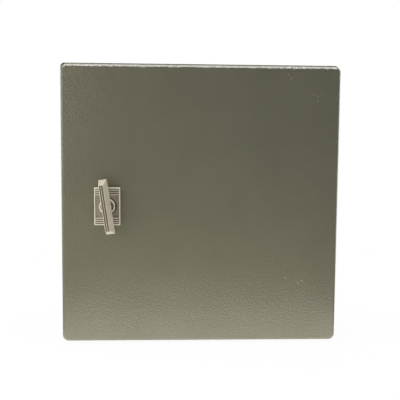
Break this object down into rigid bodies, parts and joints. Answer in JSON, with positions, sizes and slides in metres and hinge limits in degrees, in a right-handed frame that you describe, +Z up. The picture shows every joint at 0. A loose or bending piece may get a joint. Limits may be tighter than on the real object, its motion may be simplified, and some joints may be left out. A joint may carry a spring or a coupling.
{
  "type": "switchboard cabinet",
  "caption": "Square wall-mounted sheet-steel switchboard cabinet with a hinged door, concealed hinges, a T-handle cam lock, a mounting plate and a gland plate in its floor.",
  "frame": {"origin": "centre of the four wall-fixing holes, on the rear face that bears on the wall", "axes": "+Z up, +Y from the door towards the wall, +X to the right seen from the front (the hinge side)"},
  "size_m": [0.3, 0.177, 0.3],
  "materials": {
    "paint": "textured powder coat, grey-olive, semi-gloss",
    "galvanised_sheet": "galvanised, fine spangle",
    "zinc_plated_steel": "bright zinc plating",
    "hinge_steel": "zinc plated, satin",
    "lock_plastic": "moulded, satin beige",
    "seal_foam": "closed-cell foam",
    "gasket_rubber": "matt rubber"
  },
  "bodies": {
    "cabinet": {"body_wrap": "paint", "back_panel": "paint", "mounting_plate": "galvanised_sheet", "gland_plate": "galvanised_sheet", "mounting_plate_studs": "zinc_plated_steel", "mounting_plate_spacers": "zinc_plated_steel", "mounting_plate_washers": "zinc_plated_steel", "mounting_plate_nuts": "zinc_plated_steel", "gland_plate_studs": "zinc_plated_steel", "gland_plate_washers": "zinc_plated_steel", "gland_plate_nuts": "zinc_plated_steel", "body_earth_stud": "zinc_plated_steel", "body_earth_washer": "zinc_plated_steel", "body_earth_nut": "zinc_plated_steel", "upper_hinge_body_leaf": "hinge_steel", "lower_hinge_body_leaf": "hinge_steel", "gland_plate_gasket": "gasket_rubber"},
    "door": {"door_panel": "paint", "door_seal": "seal_foam", "upper_hinge_door_leaf": "hinge_steel", "lower_hinge_door_leaf": "hinge_steel", "upper_hinge_pin": "zinc_plated_steel", "lower_hinge_pin": "zinc_plated_steel", "hinge_pin_clips": "zinc_plated_steel", "door_earth_stud": "zinc_plated_steel", "door_earth_washer": "zinc_plated_steel", "door_earth_nut": "zinc_plated_steel", "lock_gasket": "gasket_rubber", "lock_housing": "lock_plastic", "lock_nut": "zinc_plated_steel"},
    "lock_rotor": {"t_handle": "lock_plastic", "spindle_o_ring": "gasket_rubber", "lock_cam": "zinc_plated_steel", "cam_washer": "zinc_plated_steel", "cam_screw": "zinc_plated_steel"}
  },
  "joints": [
    {"name": "door_swing", "type": "hinge", "parent": "cabinet", "child": "door", "pos_m": [0.142, -0.1375, 0], "axis": [0, 0, 1], "range_deg": [0, 120]},
    {"name": "handle_turn", "type": "hinge", "parent": "door", "child": "lock_rotor", "pos_m": [-0.0984, -0.15, -0.001], "axis": [0, 1, 0], "range_deg": [0, 90]}
  ]
}
